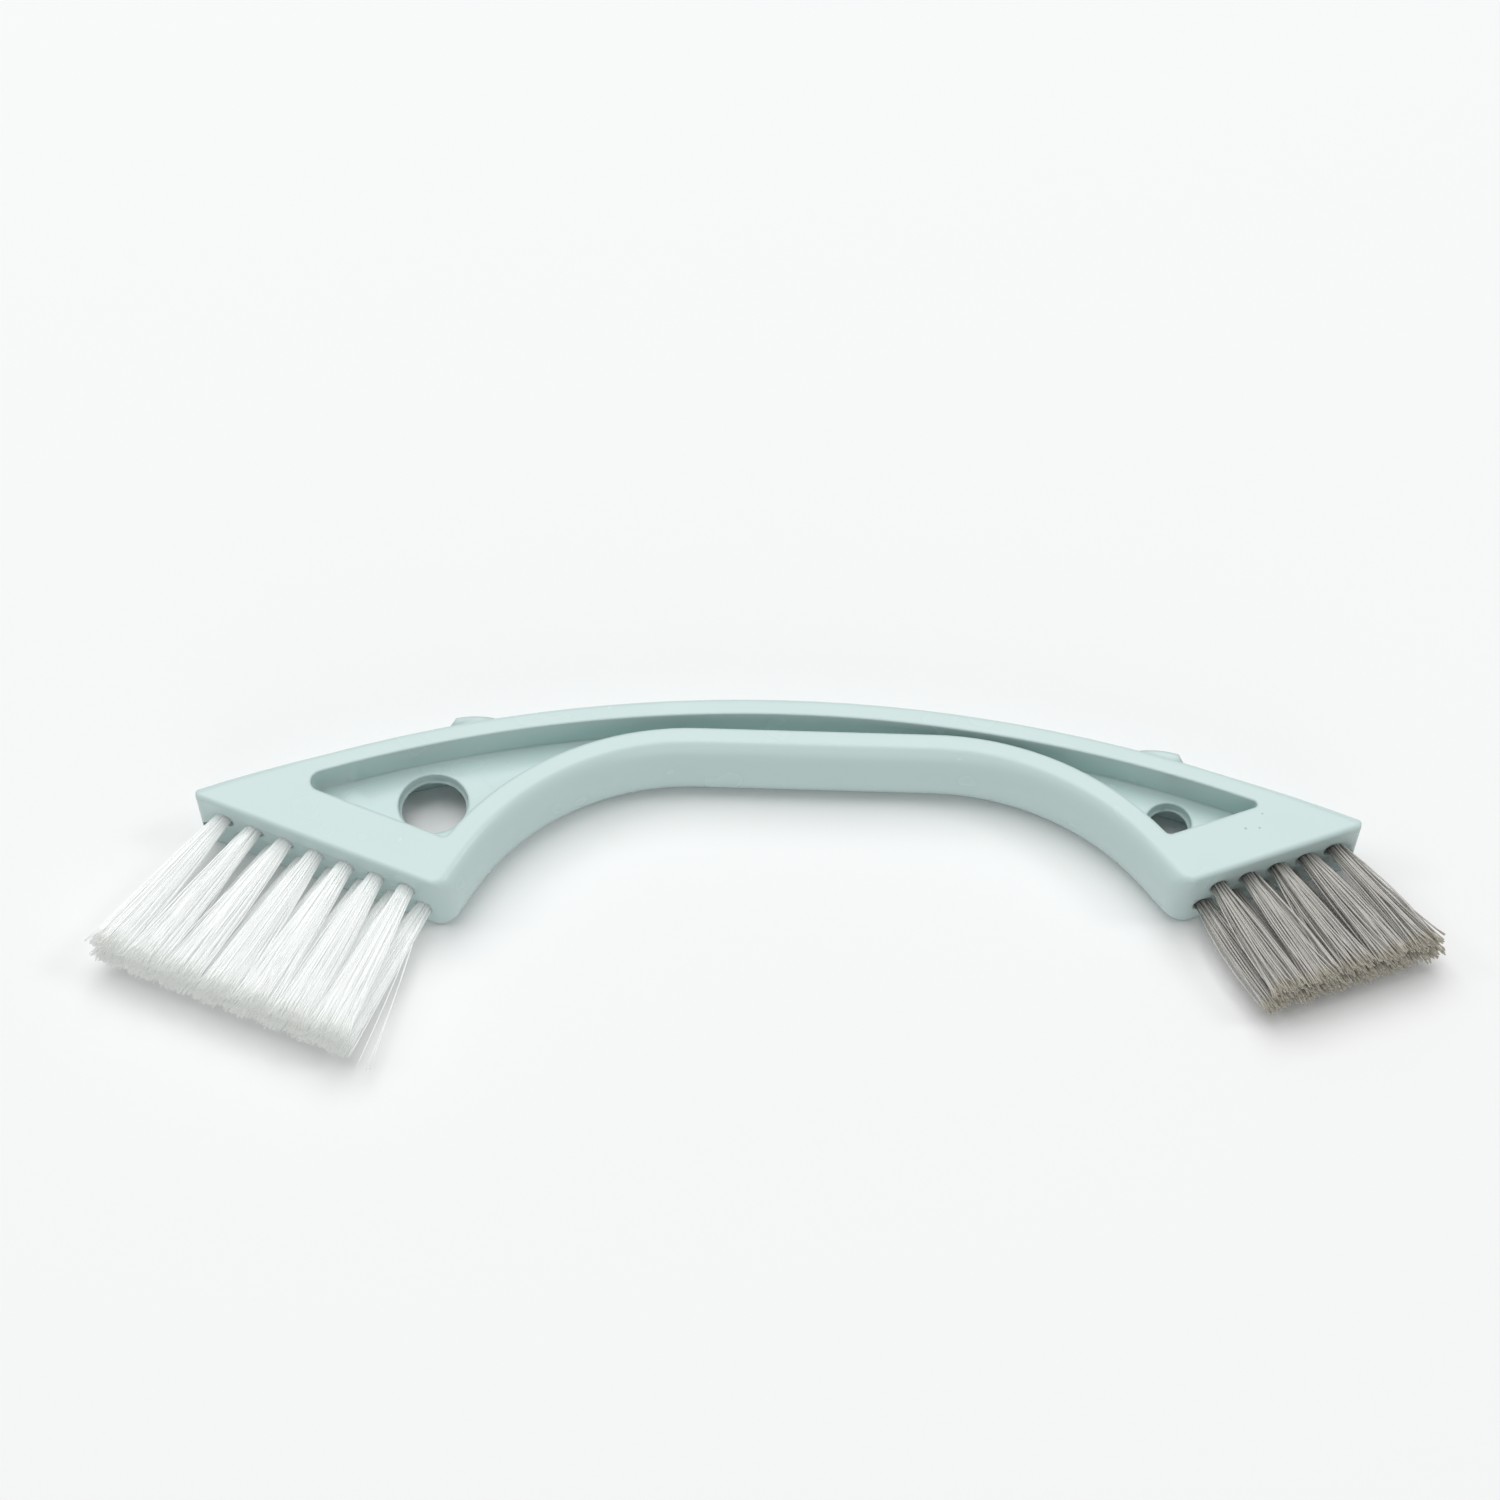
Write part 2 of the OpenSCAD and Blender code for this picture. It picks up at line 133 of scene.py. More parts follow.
class NodeKit:
    """A small helper that adds and links the nodes of one tree."""

    def __init__(self, tree: bpy.types.NodeTree) -> None:
        """Keeps the tree that the nodes go into, and room for a group's input and output."""
        self.tree = tree
        self.source: bpy.types.Node | None = None
        self.target: bpy.types.Node | None = None

    def add(self, kind: str, **values: object) -> bpy.types.Node:
        """Adds a node and sets its values.

        Args:
            kind: the node's type name without the leading ShaderNode.
            values: node attributes by name, or input sockets by name in a dict called inputs.

        Returns:
            The new node.
        """
        node = self.tree.nodes.new(kind if kind.startswith("NodeGroup") else "ShaderNode" + kind)
        for name, value in values.items():
            if name == "inputs":
                for socket, number in value.items():
                    node.inputs[socket].default_value = number
            else:
                setattr(node, name, value)
        return node

    def link(self, source: bpy.types.NodeSocket, target: bpy.types.NodeSocket) -> None:
        """Links one socket to another."""
        self.tree.links.new(source, target)

    def math(self, operation: str, first: object, second: object, clamp: bool = False) -> object:
        """Adds a Math node.

        Args:
            operation: the node's operation.
            first: a socket or a number.
            second: a socket or a number.
            clamp: whether the result stays within 0 and 1.

        Returns:
            The output socket.
        """
        node = self.add("Math", operation=operation, use_clamp=clamp)
        for index, value in enumerate((first, second)):
            if isinstance(value, (int, float)):
                node.inputs[index].default_value = value
            else:
                self.link(value, node.inputs[index])
        return node.outputs[0]

    def remap(self, value: object, low: float, high: float, start: float, end: float) -> object:
        """Adds a clamped Map Range node.

        Args:
            value: the socket to map.
            low: start of the range that is read.
            high: end of the range that is read.
            start: result at low.
            end: result at high.

        Returns:
            The output socket.
        """
        node = self.add("MapRange", interpolation_type="SMOOTHSTEP")
        self.link(value, node.inputs["Value"])
        values = {"From Min": low, "From Max": high, "To Min": start, "To Max": end}
        for name, number in values.items():
            node.inputs[name].default_value = number
        return node.outputs["Result"]

    def mix(self, factor: object, first: object, second: object) -> object:
        """Mixes two colours.

        Args:
            factor: a socket or a number.
            first: a colour or a socket, at factor 0.
            second: a colour or a socket, at factor 1.

        Returns:
            The output socket.
        """
        node = self.add("Mix", data_type="RGBA")
        for index, value in ((0, factor), (6, first), (7, second)):
            if isinstance(value, (int, float, tuple)):
                node.inputs[index].default_value = value
            else:
                self.link(value, node.inputs[index])
        return node.outputs[2]

    def group(self, tree: bpy.types.NodeTree, place: object, **values: float) -> object:
        """Places a shared group at a place on the surface and returns its first output."""
        node = self.add("Group", node_tree=tree, inputs=values)
        self.link(place, node.inputs["Vector"])
        return node.outputs[0]


def new_material(name: str) -> tuple[bpy.types.Material, NodeKit, bpy.types.Node]:
    """Starts a material.

    Args:
        name: its name.

    Returns:
        The material, its node helper and its shader.
    """
    material = bpy.data.materials.new(name)
    material.use_nodes = True
    return material, NodeKit(material.node_tree), material.node_tree.nodes["Principled BSDF"]


class EffectGroups:
    """Shader node groups that more than one finish uses."""

    def __init__(self) -> None:
        """Builds each group once."""
        self.mottle = self._mottle()
        self.round_mark = self._round_mark()
        self.specks = self._specks()

    @staticmethod
    def _start(name: str, inputs: dict[str, tuple[str, float]], outputs: dict[str, str]) -> NodeKit:
        """Makes an empty group with its sockets.

        Args:
            name: the group's name.
            inputs: socket kind and default value by name.
            outputs: socket kind by name.

        Returns:
            A kit for the group's tree, with its input and output nodes added.
        """
        tree = bpy.data.node_groups.new(name, "ShaderNodeTree")
        for label, (kind, value) in inputs.items():
            kind_name = "NodeSocket" + kind
            socket = tree.interface.new_socket(label, in_out="INPUT", socket_type=kind_name)
            if kind == "Float":
                socket.default_value = value
        for label, kind in outputs.items():
            tree.interface.new_socket(label, in_out="OUTPUT", socket_type="NodeSocket" + kind)
        kit = NodeKit(tree)
        kit.source = kit.add("NodeGroupInput")
        kit.target = kit.add("NodeGroupOutput")
        return kit

    def _mottle(self) -> bpy.types.NodeTree:
        """A soft uneven mask, from 0 to 1."""
        kit = self._start(
            "soft_mottle",
            {"Vector": ("Vector", 0.0), "Scale": ("Float", 80.0), "Contrast": ("Float", 1.0)},
            {"Mask": "Float"},
        )
        noise = kit.add("TexNoise", inputs={"Detail": 1.5, "Roughness": 0.45})
        kit.link(kit.source.outputs["Vector"], noise.inputs["Vector"])
        kit.link(kit.source.outputs["Scale"], noise.inputs["Scale"])
        centred = kit.math("SUBTRACT", noise.outputs[0], 0.5)
        scaled = kit.math("MULTIPLY", centred, kit.source.outputs["Contrast"])
        kit.link(kit.math("ADD", scaled, 0.5, clamp=True), kit.target.inputs["Mask"])
        return kit.tree

    def _round_mark(self) -> bpy.types.NodeTree:
        """A shallow round step, as an ejector pin leaves it: 1 on its rim and 0 elsewhere."""
        kit = self._start(
            "round_mark",
            {"Vector": ("Vector", 0.0), "X": ("Float", 0.0), "Y": ("Float", 0.0),
             "Radius": ("Float", 2.4 * MM), "Rim": ("Float", 0.12 * MM)},
            {"Mask": "Float"},
        )
        parts = kit.add("SeparateXYZ")
        kit.link(kit.source.outputs["Vector"], parts.inputs[0])
        east = kit.math("SUBTRACT", parts.outputs[0], kit.source.outputs["X"])
        north = kit.math("SUBTRACT", parts.outputs[1], kit.source.outputs["Y"])
        east_square = kit.math("MULTIPLY", east, east)
        square = kit.math("ADD", east_square, kit.math("MULTIPLY", north, north))
        distance = kit.math("SUBTRACT", kit.math("SQRT", square, 0.0), kit.source.outputs["Radius"])
        share = kit.math("DIVIDE", kit.math("ABSOLUTE", distance, 0.0), kit.source.outputs["Rim"])
        kit.link(kit.math("SUBTRACT", 1.0, share, clamp=True), kit.target.inputs["Mask"])
        return kit.tree

    def _specks(self) -> bpy.types.NodeTree:
        """Small dark specks, 1 in a speck and 0 elsewhere, on a share of the cells."""
        kit = self._start(
            "specks",
            {"Vector": ("Vector", 0.0), "Scale": ("Float", 400.0), "Size": ("Float", 0.12),
             "Share": ("Float", 0.1)},
            {"Mask": "Float"},
        )
        cells = kit.add("TexVoronoi")
        kit.link(kit.source.outputs["Vector"], cells.inputs["Vector"])
        kit.link(kit.source.outputs["Scale"], cells.inputs["Scale"])
        near = kit.math("LESS_THAN", cells.outputs["Distance"], kit.source.outputs["Size"])
        parts = kit.add("SeparateColor")
        kit.link(cells.outputs["Color"], parts.inputs[0])
        chosen = kit.math("LESS_THAN", parts.outputs[0], kit.source.outputs["Share"])
        kit.link(kit.math("MULTIPLY", near, chosen), kit.target.inputs["Mask"])
        return kit.tree


@dataclass(frozen=True)
class Mark:
    """A round mark or stain on the handle, by its middle and radius in millimetres."""

    x: float
    y: float
    radius: float = 2.4


@dataclass(frozen=True)
class HandleFinish:
    """Glossy moulded plastic, pale aqua.

    Attributes:
        name: the material's name.
        light: colour of most of the surface.
        deep: colour of its slightly deeper patches.
        speck: colour of the few dirt specks in the plastic.
        roughness: lowest and highest roughness.
        patch_scale: how fine those patches are.
        smear_scale: how fine the uneven gloss is.
        grain_scale: how fine the slight waviness of the surface is.
        marks: ejector marks, on the web's upper side.
        stains: round dirt stains.
        stain_strength: how dark a stain is in its middle.
        web_height: height of the web's upper side in millimetres.
        mark_reach: how far from that height the ejector marks fade out, in millimetres.
        seam_height: height of the parting line in millimetres.
        seam_width: half its width in millimetres.
        round_off: reach of the shaded rounding of edges in millimetres.
        bump_depth: depth of the relief in millimetres.
        bump_strength: strength of the relief.
        grain_share: share of the relief that is waviness.
        seam_share: share of the relief that is the parting line.
        depth_weight: share of the light that goes into the plastic.
        depth_reach: how far that light goes, in millimetres.
    """

    name: str = "aqua_plastic"
    light: tuple[float, ...] = srgb(198, 218, 216)
    deep: tuple[float, ...] = srgb(194, 215, 213)
    speck: tuple[float, ...] = srgb(96, 104, 100)
    roughness: tuple[float, float] = (0.2, 0.3)
    patch_scale: float = 45.0
    smear_scale: float = 120.0
    grain_scale: float = 260.0
    marks: tuple[Mark, ...] = (Mark(-46.4, 19.5), Mark(-69.4, 13.8), Mark(72.2, 15.8, 2.0))
    stains: tuple[Mark, ...] = (
        Mark(-0.24, 16.9, 0.22), Mark(77.4, 9.7, 0.3), Mark(79.7, 9.9, 0.26),
        Mark(80.3, 12.7, 0.22),
    )
    stain_strength: float = 0.7
    web_height: float = 7.45
    mark_reach: float = 0.5
    seam_height: float = 6.5
    seam_width: float = 0.1
    round_off: float = 0.8
    bump_depth: float = 0.05
    bump_strength: float = 0.35
    grain_share: float = 0.25
    seam_share: float = 0.6
    depth_weight: float = 0.12
    depth_reach: float = 1.5

    def build(self, groups: EffectGroups) -> bpy.types.Material:
        """Makes the material.

        Args:
            groups: the shared shader groups.

        Returns:
            The material.
        """
        material, kit, shader = new_material(self.name)
        place = kit.add("TexCoord").outputs["Object"]
        kit.link(self._colour(kit, groups, place), shader.inputs["Base Color"])
        smears = kit.group(groups.mottle, place, Scale=self.smear_scale, Contrast=1.0)
        kit.link(kit.remap(smears, 0.0, 1.0, *self.roughness), shader.inputs["Roughness"])
        relief = {"Strength": self.bump_strength, "Distance": self.bump_depth * MM}
        bump = kit.add("Bump", inputs=relief)
        kit.link(self._relief(kit, groups, place), bump.inputs["Height"])
        rounding = kit.add("Bevel", samples=6, inputs={"Radius": self.round_off * MM})
        kit.link(rounding.outputs[0], bump.inputs["Normal"])
        kit.link(bump.outputs[0], shader.inputs["Normal"])
        shader.inputs["IOR"].default_value = 1.5
        shader.inputs["Subsurface Weight"].default_value = self.depth_weight
        shader.inputs["Subsurface Radius"].default_value = (0.9, 1.0, 1.0)
        shader.inputs["Subsurface Scale"].default_value = self.depth_reach * MM
        return material

    def _colour(self, kit: NodeKit, groups: EffectGroups, place: object) -> object:
        """The plastic's colour, with its patches, specks and stains.

        Args:
            kit: the material's node helper.
            groups: the shared shader groups.
            place: the place on the surface.

        Returns:
            The colour.
        """
        patches = kit.group(groups.mottle, place, Scale=self.patch_scale, Contrast=0.9)
        grime = kit.group(groups.specks, place, Scale=330.0, Size=0.08, Share=0.012)
        for stain in self.stains:
            spot = kit.group(
                groups.round_mark, place, X=stain.x * MM, Y=stain.y * MM, Radius=0.0,
                Rim=stain.radius * MM,
            )
            grime = kit.math("MAXIMUM", grime, kit.math("MULTIPLY", spot, self.stain_strength))
        return kit.mix(grime, kit.mix(patches, self.light, self.deep), self.speck)

    def _relief(self, kit: NodeKit, groups: EffectGroups, place: object) -> object:
        """The height of the surface's relief: waviness, parting line and ejector marks.

        Args:
            kit: the material's node helper.
            groups: the shared shader groups.
            place: the place on the surface.

        Returns:
            The height, as a share of the relief's depth.
        """
        grain = kit.group(groups.mottle, place, Scale=self.grain_scale, Contrast=1.0)
        seam = self._near_height(kit, place, self.seam_height, self.seam_width)
        height = kit.math(
            "ADD", kit.math("MULTIPLY", grain, self.grain_share),
            kit.math("MULTIPLY", seam, self.seam_share),
        )
        on_web = self._near_height(kit, place, self.web_height, self.mark_reach)
        for mark in self.marks:
            rim = kit.group(
                groups.round_mark, place, X=mark.x * MM, Y=mark.y * MM, Radius=mark.radius * MM
            )
            height = kit.math("SUBTRACT", height, kit.math("MULTIPLY", rim, on_web))
        return height

    @staticmethod
    def _near_height(kit: NodeKit, place: object, height: float, reach: float) -> object:
        """A mask of what lies near one height.

        Args:
            kit: the material's node helper.
            place: the place on the surface.
            height: the height in millimetres.
            reach: how far from it the mask ends, in millimetres.

        Returns:
            The mask.
        """
        parts = kit.add("SeparateXYZ")
        kit.link(place, parts.inputs[0])
        off = kit.math("ABSOLUTE", kit.math("SUBTRACT", parts.outputs[2], height * MM), 0.0)
        return kit.math("SUBTRACT", 1.0, kit.math("DIVIDE", off, reach * MM), clamp=True)


@dataclass(frozen=True)
class BristleFinish:
    """Nylon bristles, which differ a little from strand to strand and pale or tint at their ends,
    with painted shade near the face and a painted glow.

    Attributes:
        name: the material's name.
        body: colour of most strands.
        other: colour of the strands that differ most.
        tip: colour of the cut ends.
        root: colour near the face, painted shade where the strands leave their holes.
        roughness: roughness of the strands.
        sheen: how much brighter the strands are at their sides.
        painted_glow: strength of a painted glow in the strands' own colour, which brightens them
            beyond what the lamps give.
        root_shade_until: share of a strand's length at which its painted root shade has gone.
        tip_from: share of its length at which its tip colour begins.
        tip_strength: how strong that colour is at the very end.
    """

    name: str
    body: tuple[float, ...]
    other: tuple[float, ...]
    tip: tuple[float, ...]
    root: tuple[float, ...]
    roughness: float
    sheen: float
    painted_glow: float
    root_shade_until: float = 0.22
    tip_from: float = 0.86
    tip_strength: float = 0.8

    def build(self, groups: EffectGroups) -> bpy.types.Material:
        """Makes the material.

        Args:
            groups: the shared shader groups.

        Returns:
            The material.
        """
        material, kit, shader = new_material(self.name)
        tone = kit.add("Attribute", attribute_name="tone").outputs["Fac"]
        along = kit.add("Attribute", attribute_name="along").outputs["Fac"]
        place = kit.add("TexCoord").outputs["Object"]
        streaks = kit.group(groups.mottle, place, Scale=600.0, Contrast=1.2)
        both = kit.math("MULTIPLY", kit.math("ADD", tone, streaks), 0.5)
        strand = kit.mix(both, self.body, self.other)
        # Painted shade: the strands darken towards the face, where they are packed into their
        # holes.
        rooted = kit.mix(kit.remap(along, 0.0, self.root_shade_until, 1.0, 0.0), strand, self.root)
        at_tip = kit.remap(along, self.tip_from, 1.0, 0.0, self.tip_strength)
        ended = kit.mix(at_tip, rooted, self.tip)
        kit.link(ended, shader.inputs["Base Color"])
        shader.inputs["Roughness"].default_value = self.roughness
        shader.inputs["IOR"].default_value = 1.53
        shader.inputs["Sheen Weight"].default_value = self.sheen
        shader.inputs["Sheen Roughness"].default_value = 0.5
        # Painted light: the strands glow in their own colour, which brightens them beyond what the
        # lamps give.
        kit.link(ended, shader.inputs["Emission Color"])
        shader.inputs["Emission Strength"].default_value = self.painted_glow
        return material


@dataclass(frozen=True)
class SteelFinish:
    """Plain steel strip of the anchors.

    Attributes:
        name: the material's name.
        light: colour of its brighter parts.
        dark: colour of its duller parts.
        roughness: lowest and highest roughness.
    """

    name: str = "anchor_steel"
    light: tuple[float, ...] = srgb(205, 206, 208)
    dark: tuple[float, ...] = srgb(165, 167, 170)
    roughness: tuple[float, float] = (0.25, 0.45)

    def build(self, groups: EffectGroups) -> bpy.types.Material:
        """Makes the material.

        Args:
            groups: the shared shader groups.

        Returns:
            The material.
        """
        material, kit, shader = new_material(self.name)
        place = kit.add("TexCoord").outputs["Object"]
        worn = kit.group(groups.mottle, place, Scale=900.0, Contrast=2.0)
        kit.link(kit.mix(worn, self.light, self.dark), shader.inputs["Base Color"])
        kit.link(kit.remap(worn, 0.0, 1.0, *self.roughness), shader.inputs["Roughness"])
        shader.inputs["Metallic"].default_value = 1.0
        return material


def add_piece(name: str, work: bmesh.types.BMesh, material: bpy.types.Material) -> bpy.types.Object:
    """Turns a bmesh into an object of the scene.

    Args:
        name: the object's name.
        work: the bmesh, which is freed.
        material: the object's finish.

    Returns:
        The new object, at the origin.
    """
    mesh = bpy.data.meshes.new(name)
    work.to_mesh(mesh)
    work.free()
    mesh.materials.append(material)
    piece = bpy.data.objects.new(name, mesh)
    bpy.context.scene.collection.objects.link(piece)
    return piece


@dataclass(frozen=True)
class Side:
    """One upright side of the handle near a corner, as a straight line seen from above.

    Attributes:
        outward: square out of the side.
        distance: how far the side lies along that direction at mid height.
        depth: how far inside the side the rounding of its corner begins.
        bulge: how far the side's middle stands out, or 0 for a flat side with rounded rims.
    """

    outward: Vector
    distance: float
    depth: float
    bulge: float = 0.0

    def inset(self, height: float) -> float:
        """How far the side stands back at a height from where it is at mid height."""
        low = min(height, THICKNESS - height)
        if self.bulge:
            return self.bulge * (1 - math.sqrt(max(0.0, 1 - (1 - 2 * low / THICKNESS) ** 2)))
        if low >= RIM:
            return 0.0
        return RIM - math.sqrt(max(0.0, RIM ** 2 - (RIM - low) ** 2))


@dataclass(frozen=True)
class SoftCorner:
    """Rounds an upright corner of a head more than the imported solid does.

    Attributes:
        first: one side.
        second: the other side.
        steps: steps round the corner.
        levels: heights at which the mesh is cut, so that it can follow a bulging side.
        near: how far from the corner the mesh is changed.
        slip: distance under which a mesh corner counts as on a cut.
    """

    first: Side
    second: Side
    steps: int = 8
    levels: tuple[float, ...] = ()
    near: float = 11.0 * MM
    slip: float = 0.0005 * MM

    def place(self, first_in: float, second_in: float, height: float = 0.0) -> Vector:
        """The point that lies so far inside both sides.

        Args:
            first_in: distance inside the first side.
            second_in: distance inside the second side.
            height: the point's height.

        Returns:
            The point.
        """
        a, b = self.first.outward, self.second.outward
        along_a, along_b = self.first.distance - first_in, self.second.distance - second_in
        scale = a.x * b.y - a.y * b.x
        east = (along_a * b.y - a.y * along_b) / scale
        north = (a.x * along_b - b.x * along_a) / scale
        return Vector((east, north, height))

    def shape(self, work: bmesh.types.BMesh) -> None:
        """Cuts the mesh round the corner and moves what stands out of the rounding."""
        axis = self.place(self.first.depth, self.second.depth)
        cuts = [(Vector((0.0, 0.0, level)), Vector((0.0, 0.0, 1.0))) for level in self.levels]
        for step in range(self.steps + 1):
            ray = self._ray(axis, step / self.steps)
            cuts.append((axis, Vector((-ray.y, ray.x, 0.0)).normalized()))
        for point, square in cuts:
            faces = [face for face in work.faces if any(self._is_near(v) for v in face.verts)]
            edges = {edge for face in faces for edge in face.edges}
            corners = {corner for face in faces for corner in face.verts}
            bmesh.ops.bisect_plane(
                work, geom=[*faces, *edges, *corners], dist=self.slip, plane_co=point,
                plane_no=square,
            )
        for corner in work.verts:
            if self._is_near(corner):
                self._round(corner)

    def _ray(self, axis: Vector, share: float) -> Vector:
        """The direction out of the rounding's axis at a share of the way round it."""
        turn = math.pi / 2 * share
        rim = self.place(
            self.first.depth * (1 - math.cos(turn)), self.second.depth * (1 - math.sin(turn))
        )
        return rim - axis

    def _is_near(self, corner: bmesh.types.BMVert) -> bool:
        """Whether a mesh corner is close to the handle's corner, seen from above."""
        return (corner.co.xy - self.place(0.0, 0.0).xy).length < self.near

    def _round(self, corner: bmesh.types.BMVert) -> None:
        """Moves a mesh corner onto the rounding if it stands out of it."""
        height = corner.co.z
        shares, rooms = [], []
        for side in (self.first, self.second):
            inside = side.distance - corner.co.dot(side.outward)
            rooms.append(side.depth - side.inset(height))
            shares.append((side.depth - inside) / rooms[-1])
        out = math.hypot(*shares)
        if min(shares) > 0.0 and out > 1.0:
            insides = [
                side.depth - share / out * room
                for side, share, room in zip((self.first, self.second), shares, rooms)
            ]
            corner.co = self.place(*insides, height)


@dataclass(frozen=True)
class RoundCorner(SoftCorner):
    """The same for two flat sides at any angle, with a plain round of one radius."""

    def _ray(self, axis: Vector, share: float) -> Vector:
        """The direction out of the rounding's axis at a share of the way round it."""
        whole = self.first.outward.xy.angle_signed(self.second.outward.xy)
        return Matrix.Rotation(-whole * share, 3, "Z") @ self.first.outward

    def _round(self, corner: bmesh.types.BMVert) -> None:
        """Moves a mesh corner onto the rounding if it stands out of it."""
        axis = self.place(self.first.depth, self.second.depth, corner.co.z)
        ray = corner.co - axis
        whole = self.first.outward.xy.angle_signed(self.second.outward.xy)
        turn = self.first.outward.xy.angle_signed(ray.xy, 0.0)
        radius = self.first.depth - self.first.inset(corner.co.z)
        if 0.0 <= turn / whole <= 1.0 and ray.length > radius:
            corner.co = axis + ray * (radius / ray.length)


@dataclass
class HandleShell:
    """The moulded handle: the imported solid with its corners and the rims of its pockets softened.

    Attributes:
        node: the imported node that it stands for.
        weld: distance under which corners are the same point.
        flat_angle: faces that turn less than this are one face.
        sharp_angle: edges that turn more than this are sharp.
        web: thickness of the web between its pockets.
        tip_depth: radius of the rounding of a pointed corner.
        tip_stretch: how much further out a pointed corner reaches before it is rounded.
        tip_fade: how far in from the back edge the stretch has faded out.
        tip_run: length of the back edge that this stretch is spread over.
        tip_chord: length of the back edge that stands for its direction at the corner.
        heel_depths: how far in the rounding beside the finger gap begins, from leg and face.
        heel_levels: heights at which the mesh is cut there, as shares of the thickness.
        bulge: how far the grip bulges at mid height.
        back_centre: centre of the back edge.
        back_radius: radius of the back edge.
        pocket_rim: width of the softened rim of a pocket.
        hole_rim: width of the softened rim of a hanging hole.
    """

    node: str = "handle"
    weld: float = 0.002 * MM
    flat_angle: float = math.radians(0.3)
    sharp_angle: float = math.radians(38)
    web: float = 1.9 * MM
    tip_depth: float = 1.05 * MM
    tip_stretch: float = 1.5 * MM
    tip_fade: float = 1.6 * MM
    tip_run: float = 16.0 * MM
    tip_chord: float = 3.0 * MM
    heel_depths: tuple[float, float] = (4.0 * MM, 2.1 * MM)
    heel_levels: tuple[float, ...] = (0.12, 0.24, 0.37, 0.5, 0.63, 0.76, 0.88)
    bulge: float = 3.05 * MM
    back_centre: Vector = field(default_factory=lambda: Vector((1.173, -184.311, 0.0)) * MM)
    back_radius: float = 217.5 * MM
    pocket_rim: float = 0.4 * MM
    hole_rim: float = 0.14 * MM

    def build(self, finish: bpy.types.Material) -> bpy.types.Object:
        """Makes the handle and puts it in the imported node's place.

        Args:
            finish: the handle's material.

        Returns:
            The handle.
        """
        work = bmesh.new()
        work.from_mesh(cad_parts[self.node].data)
        bmesh.ops.remove_doubles(work, verts=work.verts, dist=self.weld)
        bmesh.ops.dissolve_degenerate(work, edges=work.edges, dist=self.weld)
        bmesh.ops.dissolve_limit(
            work, angle_limit=self.flat_angle, use_dissolve_boundaries=False,
            verts=work.verts, edges=work.edges,
        )
        for head in Head:
            self._round_tip(work, head)
            self._round_heel(work, head)
        middle = THICKNESS / 2
        self._soften(work, (0.0, THICKNESS), self.pocket_rim, 3)
        self._soften(work, (middle - self.web / 2, middle + self.web / 2), self.hole_rim, 2)
        for face in work.faces:
            face.smooth = True
        piece = add_piece("moulded_handle", work, finish)
        piece.data.set_sharp_from_angle(angle=self.sharp_angle)
        even = piece.modifiers.new("even_shading", "WEIGHTED_NORMAL")
        even.keep_sharp = True
        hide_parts(self.node)
        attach(piece, "root")
        LOG.info("handle: %d faces", len(piece.data.polygons))
        return piece

    def _round_tip(self, work: bmesh.types.BMesh, head: Head) -> None:
        """Stretches a head's pointed corner a little and rounds it."""
        axes, face = AXES[head], face_distance(head)
        ray = self.back_centre + axes.outward * (face - self.back_centre.dot(axes.outward))
        half = math.sqrt(self.back_radius ** 2 - (ray - self.back_centre).length ** 2)
        tip = ray - axes.along * half
        for corner in work.verts:
            across = (corner.co - tip).dot(axes.along)
            inside = self.back_radius - (corner.co.xy - self.back_centre.xy).length
            if across < self.tip_run and inside < self.tip_fade:
                share = (1 - across / self.tip_run) * (1 - max(inside, 0.0) / self.tip_fade)
                corner.co -= axes.along * self.tip_stretch * share
        turn = Matrix.Rotation(axes.side * self.tip_chord / self.back_radius, 3, "Z")
        farther = self.back_centre + turn @ (tip - self.back_centre)
        share = 1 - (farther - tip).dot(axes.along) / self.tip_run
        farther -= axes.along * self.tip_stretch * share
        run = farther - (tip - axes.along * self.tip_stretch)
        square = Vector((-run.y, run.x, 0.0)).normalized()
        square *= math.copysign(1.0, square.y)
        back = Side(square, farther.dot(square), self.tip_depth)
        RoundCorner(back, Side(axes.outward, face, self.tip_depth)).shape(work)

    def _round_heel(self, work: bmesh.types.BMesh, head: Head) -> None:
        """Rounds a head's corner beside the finger gap."""
        axes = AXES[head]
        leg = Side(axes.leg_outward, axes.leg_distance, self.heel_depths[0], self.bulge)
        face = Side(axes.outward, face_distance(head), self.heel_depths[1])
        levels = tuple(THICKNESS * share for share in self.heel_levels)
        SoftCorner(leg, face, levels=levels).shape(work)

    def _soften(
        self, work: bmesh.types.BMesh, levels: tuple[float, ...], width: float, segments: int
    ) -> None:
        """Bevels the sharp outer edges that lie flat at one of some heights.

        Args:
            work: the handle's mesh.
            levels: the heights.
            width: width of the bevel.
            segments: steps across the bevel.
        """
        edges = [
            edge for edge in work.edges
            if len(edge.link_faces) == 2 and edge.is_convex
            and edge.calc_face_angle() > self.sharp_angle
            and any(all(abs(v.co.z - level) < self.weld for v in edge.verts) for level in levels)
        ]
        bmesh.ops.bevel(
            work, geom=edges, offset=width, offset_type="OFFSET", segments=segments, profile=0.5,
            affect="EDGES", clamp_overlap=True, material=-1,
        )
        LOG.info("handle: %d edges softened by %.2f mm", len(edges), width / MM)


def face_distance(head: Head) -> float:
    """How far a head's face lies along its own outward direction."""
    outward = AXES[head].outward
    return max(corner.co.dot(outward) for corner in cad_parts["handle"].data.vertices)


